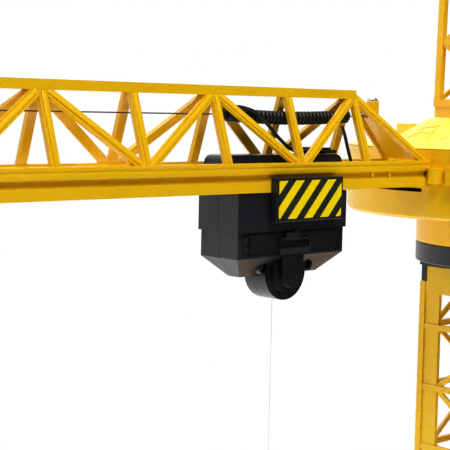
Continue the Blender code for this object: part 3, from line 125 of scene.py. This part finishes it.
def bump(tree, height, distanceMm, strength, under=None):
    links = [(height, "Height")] + ([(under, "Normal")] if under else [])
    return addNode(tree, "ShaderNodeBump", links, Distance=distanceMm * mm, Strength=strength).outputs["Normal"]


def mouldedPlastic(name, look):
    # the colour drifts a little with the flow of the melt, and the skin copies the tool's surface; sharp edges are
    # lightened as a painted highlight
    material, tree, shader, place = newMaterial(name, IOR=look["ior"], Metallic=0.0)
    flow = noiseField(tree, place, look["flow"], 2.0)
    color = tint(tree, flow, [(0.3, look["dark"]), (0.7, look["light"])])
    # sharp edges are mixed towards the lighter edge colour: a painted highlight along the edges
    edge = addNode(tree, "ShaderNodeNewGeometry").outputs["Pointiness"]
    paintedEdgeLight = spread(tree, edge, 0.52, 0.62, 0.0, look["wear"])
    mix = addNode(tree, "ShaderNodeMix", [(paintedEdgeLight, "Factor")], data_type="RGBA")
    tree.links.new(color, mix.inputs[6])
    mix.inputs[7].default_value = linear(look["edge"])
    tree.links.new(mix.outputs[2], shader.inputs["Base Color"])
    handled = noiseField(tree, place, look["smear"], 4.0)
    tree.links.new(spread(tree, handled, 0.3, 0.7, look["rough"] - 0.015, look["rough"] + 0.015),
                   shader.inputs["Roughness"])
    wave = bump(tree, noiseField(tree, place, look["wave"], 1.0), look["waveDepth"], 0.35)
    grain = bump(tree, noiseField(tree, place, look["grain"], 2.0), look["grainDepth"], 0.5, wave)
    tree.links.new(grain, shader.inputs["Normal"])
    return material


# ABS, IOR about 1.54. Yellow: polished tool, so a clear soft gloss with slight sink waves.
# the edge colour and its share give the painted highlight on sharp edges
yellowLook = {"ior": 1.54, "dark": "#E8B90A", "light": "#EDC00E", "edge": "#F2C636", "wear": 0.06, "flow": 60.0,
              "smear": 50.0, "rough": 0.27, "wave": 40.0, "waveDepth": 0.03, "grain": 3.0, "grainDepth": 0.0015}
yellowAbs = mouldedPlastic("yellowMouldedAbs", yellowLook)
# the roof gets a paler copy of the yellow, painted light for its brightly lit upward-facing top, and a glossier
# finish
roofLitLook = dict(yellowLook, dark="#F2CE2C", light="#F6D436", edge="#FAE27A", rough=0.22)
roofLitAbs = mouldedPlastic("paleYellowAbs", roofLitLook)
# Black ABS from a spark-eroded tool: an even, fine satin grain.
blackLook = {"ior": 1.54, "dark": "#0E0F12", "light": "#141518", "edge": "#44464C", "wear": 0.4, "flow": 45.0,
             "smear": 16.0, "rough": 0.3, "wave": 12.0, "waveDepth": 0.12, "grain": 0.45, "grainDepth": 0.03}
blackAbs = mouldedPlastic("blackSatinAbs", blackLook)
slateLook = dict(blackLook, dark="#25262E", light="#2C2D36", edge="#5E6068", rough=0.3)
slateAbs = mouldedPlastic("slateBlueAbs", slateLook)
# Natural nylon: milky white, a little waxy.
nylonLook = dict(yellowLook, ior=1.53, dark="#D9D6CC", light="#E6E3DA", edge="#F4F2EC", rough=0.38)
whiteNylon = mouldedPlastic("whiteNylon", nylonLook)
# Solder mask over a glass-fibre board.
boardLook = dict(yellowLook, ior=1.5, dark="#0E4A22", light="#14602E", edge="#3C8A55", rough=0.3, flow=8.0)
solderMask = mouldedPlastic("greenSolderMask", boardLook)


def zincPlatedSteel():
    # bright zinc on drawn steel: grey, faintly streaked, with fine pitting
    material, tree, shader, place = newMaterial("zincPlatedSteel", Metallic=1.0)
    blotch = noiseField(tree, place, 3.0, 5.0)
    tree.links.new(tint(tree, blotch, [(0.35, "#9EA0A3"), (0.65, "#C9CACC")]), shader.inputs["Base Color"])
    tree.links.new(spread(tree, blotch, 0.3, 0.7, 0.2, 0.36), shader.inputs["Roughness"])
    tree.links.new(bump(tree, noiseField(tree, place, 0.5), 0.02, 0.4), shader.inputs["Normal"])
    return material


def castIron():
    # sand-cast iron: dark grey, rough skin of about 1 mm grit
    material, tree, shader, place = newMaterial("sandCastIron", Metallic=0.85)
    grit = noiseField(tree, place, 1.1, 6.0)
    tree.links.new(tint(tree, grit, [(0.35, "#2C2B2A"), (0.7, "#4B4845")]), shader.inputs["Base Color"])
    tree.links.new(spread(tree, grit, 0.3, 0.7, 0.55, 0.8), shader.inputs["Roughness"])
    tree.links.new(bump(tree, grit, 0.3, 0.6), shader.inputs["Normal"])
    return material


def cordJacket():
    # soft PVC jacket, IOR about 1.53: black with a low sheen and faint extrusion marks
    material, tree, shader, place = newMaterial("blackPvcJacket", IOR=1.53)
    scuff = noiseField(tree, place, 2.2, 4.0)
    tree.links.new(tint(tree, scuff, [(0.35, "#101112"), (0.7, "#1B1C1D")]), shader.inputs["Base Color"])
    tree.links.new(spread(tree, scuff, 0.3, 0.7, 0.34, 0.5), shader.inputs["Roughness"])
    tree.links.new(bump(tree, noiseField(tree, place, 0.35), 0.02, 0.5), shader.inputs["Normal"])
    return material


def clearMonofilament():
    # drawn nylon line, IOR 1.53: clear, with a slight haze along its length
    material, tree, shader, place = newMaterial("clearNylonLine", IOR=1.53, Transmission_Weight=0.5)
    haze = noiseField(tree, place, 1.5, 2.0)
    tree.links.new(tint(tree, haze, [(0.3, "#E9E9E6"), (0.7, "#F6F6F4")]), shader.inputs["Base Color"])
    tree.links.new(spread(tree, haze, 0.3, 0.7, 0.12, 0.3), shader.inputs["Roughness"])
    return material


hazard = {"period": 16.2, "slope": 0.907, "share": 0.53, "offset": 0.4}


def hazardPrint():
    # vinyl film, IOR about 1.5, printed with diagonal bars that repeat every 16 mm along its length
    material, tree, shader, place = newMaterial("printedHazardFilm", IOR=1.5)
    low, high = boxOf("hazard_label_front")
    split = addNode(tree, "ShaderNodeSeparateXYZ", [(place, "Vector")])
    along = spread(tree, split.outputs["X"], low.x * mm, high.x * mm, 0.0, (high.x - low.x) / hazard["period"])
    down = spread(tree, split.outputs["Z"], high.z * mm, low.z * mm, 0.0,
                  (high.z - low.z) * hazard["slope"] / hazard["period"])
    both = addNode(tree, "ShaderNodeMath", [(along, 0), (down, 1)], operation="ADD").outputs[0]
    turn = addNode(tree, "ShaderNodeMath", [(both, 0)], operation="FRACT").outputs[0]
    bar = spread(tree, turn, hazard["share"] - 0.012, hazard["share"] + 0.012, 0.0, 1.0)
    fade = noiseField(tree, place, 5.0, 3.0)
    ink = tint(tree, fade, [(0.3, "#23271A"), (0.7, "#2C3122")])
    film = tint(tree, fade, [(0.3, "#F7D900"), (0.7, "#FBE105")])
    mix = addNode(tree, "ShaderNodeMix", [(bar, "Factor")], data_type="RGBA")
    tree.links.new(film, mix.inputs[6])
    tree.links.new(ink, mix.inputs[7])
    tree.links.new(mix.outputs[2], shader.inputs["Base Color"])
    tree.links.new(spread(tree, fade, 0.3, 0.7, 0.28, 0.38), shader.inputs["Roughness"])
    tree.links.new(bump(tree, noiseField(tree, place, 1.2), 0.02, 0.3), shader.inputs["Normal"])
    return material


zincSteel = zincPlatedSteel()
# Screws: steel blackened in a hot bath, dark with a dull shine.
oxideLook = dict(blackLook, ior=1.6, dark="#1A1A1C", light="#232326", edge="#6B6B70", rough=0.32, flow=2.0)
blackOxide = mouldedPlastic("blackOxideScrew", oxideLook)
pvcJacket = cordJacket()
materialOf = {"yellow_abs": yellowAbs, "roof_abs": roofLitAbs, "black_abs": blackAbs, "slate_abs": slateAbs,
              "white_nylon": whiteNylon, "bright_steel": zincSteel, "cord_rubber": pvcJacket,
              "clear_nylon": clearMonofilament(), "circuit_board": solderMask, "hazard_print": hazardPrint(),
              "cast_ballast": castIron()}
print("materials made:", len(materialOf))


# making pieces

def makePiece(name, bm, slot, body, stands=(), inMetres=False, smooth=35.0):
    # turns a bmesh in millimetres into a finished piece that rides on its body
    if not inMetres:
        bmesh.ops.scale(bm, vec=(mm, mm, mm), verts=bm.verts)
    mesh = bpy.data.meshes.new(name)
    bm.to_mesh(mesh)
    bm.free()
    mesh.shade_smooth()
    mesh.set_sharp_from_angle(angle=math.radians(smooth))
    piece = bpy.data.objects.new(name, mesh)
    bpy.context.scene.collection.objects.link(piece)
    mesh.materials.append(materialOf[slot])
    if body:
        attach(piece, body)
    if stands:
        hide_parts(*stands)
    return piece


def camel(node):
    first, *rest = node.split("_")
    return first + "".join(word.capitalize() for word in rest)


def softened(node, width, segments=2, sharpest=28.0):
    # a CAD node's own shape, its triangles joined into faces and its edges rounded like a moulding's
    bm = bmesh.new()
    bm.from_mesh(frame["nodes"][node].data)
    bmesh.ops.remove_doubles(bm, verts=bm.verts, dist=0.002 * mm)
    bmesh.ops.dissolve_limit(bm, angle_limit=math.radians(1.0), verts=bm.verts, edges=bm.edges)
    edges = [e for e in bm.edges if len(e.link_faces) == 2
             and math.degrees(e.calc_face_angle()) > sharpest]
    bmesh.ops.bevel(bm, geom=edges, offset=width * mm, offset_type="OFFSET", affect="EDGES",
                    segments=segments, profile=0.5, material=-1, clamp_overlap=True)
    piece = makePiece(camel(node) + "Moulding", bm, slotOf[node], bodyOf[node], [node], inMetres=True)
    flatten = piece.modifiers.new("flatFaces", "WEIGHTED_NORMAL")
    flatten.keep_sharp, flatten.weight = True, 90
    return piece


def tubeMesh(points, radius, sides=6):
    # a round cord through the points, as closed mesh
    curve = bpy.data.curves.new("cordPath", "CURVE")
    curve.dimensions = "3D"
    curve.bevel_depth = radius
    curve.bevel_resolution = sides
    curve.use_fill_caps = True
    spline = curve.splines.new("POLY")
    spline.points.add(len(points) - 1)
    for place, point in zip(spline.points, points):
        place.co = (*point, 1.0)
    holder = bpy.data.objects.new("cordPath", curve)
    bpy.context.scene.collection.objects.link(holder)
    made = bpy.data.meshes.new_from_object(holder.evaluated_get(bpy.context.evaluated_depsgraph_get()))
    bpy.data.objects.remove(holder)
    bm = bmesh.new()
    bm.from_mesh(made)
    bpy.data.meshes.remove(made)
    bmesh.ops.remove_doubles(bm, verts=bm.verts, dist=0.001)
    bmesh.ops.recalc_face_normals(bm, faces=bm.faces)
    return bm


def smoothPath(points, steps):
    # a curve through every point (Catmull-Rom), with the given number of steps between each pair
    points = [Vector(p) for p in points]
    ends = [2 * points[0] - points[1], *points, 2 * points[-1] - points[-2]]
    path = []
    for a, b, c, d in zip(ends, ends[1:], ends[2:], ends[3:]):
        for step in range(steps):
            t = step / steps
            path.append(0.5 * (2 * b + (c - a) * t + (2 * a - 5 * b + 4 * c - d) * t ** 2
                               + (3 * b - a - 3 * c + d) * t ** 3))
    return path + [points[-1]]


# the camera, the lights and the floor

viewpoint = {"place": (-950.2, -652.2, 38.4), "yaw": 43.338, "down": 5.0194, "roll": 1.2103, "lens": 105.7}


def makeCamera():
    yaw, down, roll = (math.radians(viewpoint[key]) for key in ("yaw", "down", "roll"))
    ahead = Vector((math.sin(yaw) * math.cos(down), math.cos(yaw) * math.cos(down), -math.sin(down)))
    level = Vector((math.cos(yaw), -math.sin(yaw), 0))
    up = level.cross(ahead)
    right = level * math.cos(roll) + up * math.sin(roll)
    above = up * math.cos(roll) - level * math.sin(roll)
    turn = Matrix((right, above, -ahead)).transposed().to_4x4()
    x, y, z = viewpoint["place"]
    data = bpy.data.cameras.new("studioCamera")
    data.lens, data.sensor_width = viewpoint["lens"], 36.0
    data.clip_start, data.clip_end = 0.05, 60.0
    camera = bpy.data.objects.new("studioCamera", data)
    camera.matrix_world = Matrix.Translation(Vector((x, y, z + footLevel)) * mm) @ turn
    bpy.context.scene.collection.objects.link(camera)
    bpy.context.scene.camera = camera


# softboxes: place in metres from the trolley, size in metres, power in watts
softboxes = {"keyAbove": {"place": (-0.4, -1.25, 2.1), "size": 1.3, "power": 68.0},
             "topFill": {"place": (0.5, 0.6, 2.2), "size": 2.2, "power": 40.0},
             "leftStrip": {"place": (-2.0, 0.9, 0.6), "size": 1.0, "power": 4.0}}
# the room is bright behind the crane and dim in front of it
room = {"behind": 0.95, "inFront": 0.05, "floorGlow": 0.5, "floorHalf": 1.7, "gamma": 0.82}


def makeStudio():
    target = Vector((trolleyX, 0, footLevel)) * mm
    for name, box in softboxes.items():
        data = bpy.data.lights.new(name, "AREA")
        data.shape, data.size, data.energy = "SQUARE", box["size"], box["power"]
        light = bpy.data.objects.new(name, data)
        offset = Vector(box["place"])
        aim = offset.to_track_quat("Z", "Y").to_matrix().to_4x4()
        light.matrix_world = Matrix.Translation(target + offset) @ aim
        bpy.context.scene.collection.objects.link(light)
    world = bpy.data.worlds.new("whiteStudio")
    bpy.context.scene.world = world
    world.use_nodes = True
    tree = world.node_tree
    ambient = tree.nodes["Background"]
    ambient.inputs["Color"].default_value = (1, 1, 1, 1)
    toward = addNode(tree, "ShaderNodeTexCoord").outputs["Generated"]
    split = addNode(tree, "ShaderNodeSeparateXYZ", [(toward, "Vector")])
    tree.links.new(spread(tree, split.outputs["Y"], -0.25, 0.45, room["inFront"], room["behind"]),
                   ambient.inputs["Strength"])
    seen = addNode(tree, "ShaderNodeBackground", Color=(1, 1, 1, 1), Strength=1.0)
    rays = addNode(tree, "ShaderNodeLightPath").outputs["Is Camera Ray"]
    mix = addNode(tree, "ShaderNodeMixShader", [(rays, 0), (ambient.outputs[0], 1), (seen.outputs[0], 2)])
    tree.links.new(mix.outputs[0], tree.nodes["World Output"].inputs["Surface"])
    bm = bmesh.new()
    bmesh.ops.create_grid(bm, x_segments=8, y_segments=8, size=room["floorHalf"])
    mesh = bpy.data.meshes.new("studioFloor")
    bm.to_mesh(mesh)
    bm.free()
    floor = bpy.data.objects.new("studioFloor", mesh)
    bpy.context.scene.collection.objects.link(floor)
    paper, tree, shader, place = newMaterial("whitePaperFloor", Roughness=0.8, Emission_Color=(1, 1, 1, 1),
                                             Emission_Strength=room["floorGlow"])
    pulp = noiseField(tree, place, 40.0, 4.0)
    tree.links.new(tint(tree, pulp, [(0.3, "#F6F6F5"), (0.7, "#FBFBFA")]), shader.inputs["Base Color"])
    mesh.materials.append(paper)
    bpy.context.scene.view_settings.view_transform = "Standard"
    bpy.context.scene.view_settings.gamma = room["gamma"]   # deepens the blacks under bright lights


makeCamera()
makeStudio()
print("camera and studio made")

# the curly cord on its guide wire, its two tails, the wire and the hoist line
coil = {"turns": 33.5, "pointsPerTurn": 18, "cord": 1.25, "sag": 1.9}
straight = {"steps": 24, "wireRadius": 0.45, "hoistRadius": 0.16}


def makeCurlyCord():
    low, high = boxOf("curly_cord")
    middleZ, wireZ = (low.z + high.z) / 2, boxOf("guide_wire")[0].z + straight["wireRadius"]
    wound = (high.z - low.z) / 2 - coil["cord"]
    count = int(coil["turns"] * coil["pointsPerTurn"])
    points = []
    for step in range(count + 1):
        share = step / count
        angle = 2 * math.pi * coil["turns"] * share
        x = low.x + coil["cord"] + (high.x - low.x - 2 * coil["cord"]) * share
        sag = wireZ - middleZ - coil["sag"] * math.sin(math.pi * share)
        points.append((x, wound * math.sin(angle), middleZ + sag + wound * math.cos(angle)))
    cord = makePiece("curlyCordTurns", tubeMesh(points, coil["cord"], 4), "cord_rubber", None, ["curly_cord"])
    return cord, (low.x, high.x)


def makeTails(coilLow, coilHigh):
    topBox = boxOf("trolley_top_box")[1].z
    clampX = boxOf("cord_clamp")[0].x
    route = [(coilLow + 5.0, -1.2, footLevel + 39.95), (coilLow + 13.0, -3.6, footLevel + 39.7),
             (coilLow + 24.0, -6.2, footLevel + 36.2), (coilLow + 35.0, -6.8, footLevel + 28.0),
             (coilLow + 48.0, -6.2, footLevel + 18.0), (coilLow + 62.0, -4.4, footLevel + 10.8),
             (clampX - 5.3, -1.2, topBox + 1.9), (clampX - 0.3, 0, topBox + 1.8)]
    makePiece("cordTailTrolleyCord", tubeMesh(smoothPath(route, 8), coil["cord"]), "cord_rubber", "trolley",
              ["cord_tail_trolley"])
    coilUnder = boxOf("curly_cord")[0].z
    entry = boxOf("cord_tail_turret")[1].x
    route = [(coilHigh - 6.8, 0, coilUnder - 0.9), (coilHigh - 3.2, 0, footLevel + 20.0),
             (coilHigh - 0.2, 0, footLevel + 12.0), (coilHigh + 4.4, 0, footLevel + 1.0),
             (coilHigh + 9.4, 0, footLevel - 8.5), (coilHigh + 19.9, 0, footLevel - 12.6),
             (coilHigh + 45.4, 0, footLevel - 13.2), (entry, 0, footLevel - 13.2)]
    makePiece("cordTailTurretCord", tubeMesh(smoothPath(route, 8), coil["cord"]), "cord_rubber", "turret",
              ["cord_tail_turret"])


def makeLines():
    low, high = boxOf("guide_wire")
    y, z = (low.y + high.y) / 2, (low.z + high.z) / 2
    steps = straight["steps"]
    points = [(low.x + (high.x - low.x) * i / steps, y, z) for i in range(steps + 1)]
    wire = tubeMesh(points, straight["wireRadius"], 3)
    makePiece("guideWireLine", wire, "black_abs", "turret", ["guide_wire"])
    low, high = boxOf("hoist_line")
    x = (low.x + high.x) / 2
    points = [(x, 0, low.z + (high.z - low.z) * i / steps) for i in range(steps + 1)]
    nylon = tubeMesh(points, straight["hoistRadius"], 3)
    return makePiece("hoistLine", nylon, "clear_nylon", None, ["hoist_line"])


cord, coilSpan = makeCurlyCord()
makeTails(*coilSpan)
line = makeLines()
print("cords made")

# CAD pieces whose edges are rounded, with the rounding in millimetres
edgeWidth = {"trolley_shell_front": 0.6, "trolley_shell_back": 0.6, "trolley_top_box": 0.8,
             "side_plate_front": 0.6, "side_plate_back": 0.6, "winch_cover": 0.3, "cord_clamp": 0.4,
             "jib_inner": 0.4, "jib_outer": 0.4,
             "jib_end_plate": 0.3, "wire_post": 0.4, "tower_head": 0.5, "head_cap": 0.8, "mast_section_lower": 0.4,
             "mast_section_middle": 0.4, "mast_section_upper": 0.4, "mast_top_bracket": 0.4, "mast_socket": 0.6,
             "base_frame": 1.0, "base_bottom_plate": 0.8, "counter_jib": 0.6, "counterweight_box": 1.2,
             "jib_splice_clip": 0.4, "hook_block": 0.4, "base_ballast": 0.8, "counterweight_slug": 0.8,
             "turret_drum": 0.4, "turret_roof": 0.4, "turret_neck": 0.4, "slewing_ring": 0.4}
for node, width in edgeWidth.items():
    softened(node, width)
    print("softened", node)


# the lattice: every bar of the jib has a raised rib down its outer face
truss = {"pitch": 70.0, "halfWidth": 20.9, "top": 54.0, "topBar": 6.4, "depth": 3.4,
         "ribWidth": 2.6, "ribProud": 0.8, "ribSpan": (0.05, 0.94),
         "sections": (("inner", 140.0, 6, True, False), ("outer", 560.0, 4, False, True))}


def footPoint(x, side):
    return Vector((x, side * (truss["halfWidth"] - truss["depth"] / 2 - 0.4), footLevel - 1.5))


def apexPoint(x, side):
    return Vector((x, side * 1.9, footLevel + truss["top"] - truss["topBar"] / 2 - 1.2))


def addBar(bm, start, end, width, low, high, outward, bevel=0.25):
    # a bevelled bar from start to end; low and high are its faces' distances along outward
    along = (end - start).normalized()
    outward = (outward - along * outward.dot(along)).normalized()
    turn = Matrix((along, outward.cross(along), outward)).transposed().to_4x4()
    middle = (start + end) / 2 + outward * (low + high) / 2
    made = bmesh.ops.create_cube(bm, size=1.0)
    bmesh.ops.scale(bm, vec=((end - start).length, width, high - low), verts=made["verts"])
    edges = list({edge for vert in made["verts"] for edge in vert.link_edges})
    bmesh.ops.transform(bm, matrix=Matrix.Translation(middle) @ turn, verts=made["verts"])
    bmesh.ops.bevel(bm, geom=edges, offset=bevel, offset_type="OFFSET", affect="EDGES", segments=2, profile=0.5,
                    material=-1)


def addRib(bm, foot, apex, face, out):
    low, high = truss["ribSpan"]
    addBar(bm, foot.lerp(apex, low), foot.lerp(apex, high), truss["ribWidth"], face - 0.3,
           face + truss["ribProud"], out)


def makeLatticeRibs(name, start, bays, rootSlopes, tipSlopes):
    bm = bmesh.new()
    for side in (-1, 1):
        out = Vector((0, side * (truss["top"] - 4), truss["halfWidth"] - 2))
        for bay in range(bays + 1):
            x = -start - bay * truss["pitch"]
            sloping = (bay == 0 and rootSlopes) or (bay == bays and tipSlopes)
            if not sloping:
                x += {0: -3.7, bays: 3.7}.get(bay, 0)
                addRib(bm, footPoint(x, side), apexPoint(x, side), truss["depth"] / 2, out)
            if bay == bays:
                break
            x, rising = -start - bay * truss["pitch"], bay % 2 == 0
            low, high = (x, x - truss["pitch"]) if rising else (x - truss["pitch"], x)
            addRib(bm, footPoint(low, side), apexPoint(high, side), truss["depth"] / 2 - 0.25, out)
    makePiece(name, bm, "yellow_abs", "turret")


for word, start, bays, rootSlopes, tipSlopes in truss["sections"]:
    makeLatticeRibs("latticeRibs" + word.capitalize(), start, bays, rootSlopes, tipSlopes)

# two beads run along the bottom chord's outer face, with a fine channel between them
chord = {"ends": (-838.0, -140.0), "upper": (-0.5, 2.1), "lower": (-5.4, -1.5), "proud": 0.35}


def makeChordBeads():
    bm = bmesh.new()
    for side in (-1, 1):
        for low, high in (chord["upper"], chord["lower"]):
            z = footLevel + (low + high) / 2
            ends = [Vector((x, side * truss["halfWidth"], z)) for x in chord["ends"]]
            addBar(bm, ends[0], ends[1], high - low, -0.8, chord["proud"], Vector((0, side, 0)), 0.3)
    makePiece("chordBeads", bm, "yellow_abs", "turret")


makeChordBeads()
print("lattice ribs and chord beads made")

# the roof's moulded lines: a hexagon with rays, and one line on its own, drawn as thin tubes in the darker body
# yellow as painted shade in the grooves
roofShape = {"flat": 70.0, "eaves": 111.0, "line": 0.32, "steps": 6, "topRise": 24.3, "eavesRise": 1.8}
roofLines = [[(-86.2, 31.8), (-78.9, 35.2), (-79.3, 28.6), (-82.9, 17.6), (-87.9, 15.5), (-90.8, 20.7),
              (-86.2, 31.8)],
             [(-78.9, 35.2), (-61.3, 42.3)], [(-79.3, 28.6), (-79.5, 16.0)], [(-86.2, 31.8), (-92.1, 40.4)],
             [(-87.9, 15.5), (-99.9, 13.7)], [(-101.0, 0.8), (-96.2, -4.6)]]


def makeRoofLines():
    top = drumHigh.z + roofShape["topRise"]
    eaves = drumHigh.z + roofShape["eavesRise"]
    steps = roofShape["steps"]
    bm = bmesh.new()
    for line in roofLines:
        points = []
        for (x0, y0), (x1, y1) in zip(line, line[1:]):
            for step in range(steps + 1):
                x, y = x0 + (x1 - x0) * step / steps, y0 + (y1 - y0) * step / steps
                share = (math.hypot(x, y) - roofShape["flat"]) / (roofShape["eaves"] - roofShape["flat"])
                points.append((x, y, top - (top - eaves) * min(max(share, 0.0), 1.0)))
        tube = tubeMesh(points, roofShape["line"], 2)
        held = bpy.data.meshes.new("roofLine")
        tube.to_mesh(held)
        tube.free()
        bm.from_mesh(held)
        bpy.data.meshes.remove(held)
    # the darker yellow of these tubes is painted shade for the moulded grooves
    makePiece("roofMouldedLines", bm, "yellow_abs", "turret")


makeRoofLines()

# the trolley front's small square pads and pointer, and the printed labels with round corners
pads = {"places": ((-332.8, -50.0), (-332.8, -57.0)), "side": 4.2, "back": -18.0, "face": -18.6}
pointer = {"tip": (-284.6, -43.6), "left": (-290.0, -46.2), "right": (-279.6, -46.2), "face": -20.6}


def addPlate(bm, low, high, back, face, corner):
    # a flat plate in the x-z plane with rounded corners
    made = bmesh.ops.create_cube(bm, size=1.0)["verts"]
    bmesh.ops.scale(bm, vec=(high[0] - low[0], abs(face - back), high[1] - low[1]), verts=made)
    bmesh.ops.translate(bm, vec=((low[0] + high[0]) / 2, (face + back) / 2, (low[1] + high[1]) / 2), verts=made)
    edges = list({edge for vert in made for edge in vert.link_edges})
    depthwise = [e for e in edges if abs(e.verts[0].co.y - e.verts[1].co.y) > 0.5 * abs(face - back)]
    bmesh.ops.bevel(bm, geom=depthwise, offset=corner, offset_type="OFFSET", affect="EDGES", segments=6,
                    profile=0.5, material=-1)


def makeTrolleyFront():
    bm = bmesh.new()
    half = pads["side"] / 2
    for x, drop in pads["places"]:
        z = footLevel + drop
        addPlate(bm, (x - half, z - half), (x + half, z + half), pads["back"], pads["face"], 0.5)
    corners = [bm.verts.new((x, y, z + footLevel)) for y in (pads["back"], pointer["face"])
               for x, z in (pointer["left"], pointer["right"], pointer["tip"])]
    bmesh.ops.convex_hull(bm, input=corners)
    bmesh.ops.recalc_face_normals(bm, faces=bm.faces)
    makePiece("trolleyFrontPads", bm, "black_abs", "trolley")


def makeLabels():
    for word in ("front", "back"):
        low, high = boxOf("hazard_label_" + word)
        bm = bmesh.new()
        addPlate(bm, (low.x, low.z), (high.x, high.z), high.y, low.y, 1.8)
        bmesh.ops.recalc_face_normals(bm, faces=bm.faces)
        makePiece(camel("hazard_label_" + word) + "Film", bm, "hazard_print", "trolley", ["hazard_label_" + word])


makeTrolleyFront()
makeLabels()
print("trolley details made")

replacedNodes = set(edgeWidth) | {"hazard_label_front", "hazard_label_back"}
shownAsMade = [node for node in frame["nodes"] if node not in replacedNodes]
for node in shownAsMade:
    mesh = frame["nodes"][node].data
    mesh.materials.clear()
    mesh.materials.append(blackOxide if node.startswith("shell_screw") else materialOf[slotOf[node]])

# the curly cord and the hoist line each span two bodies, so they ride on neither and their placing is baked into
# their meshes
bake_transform(cord)
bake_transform(line)
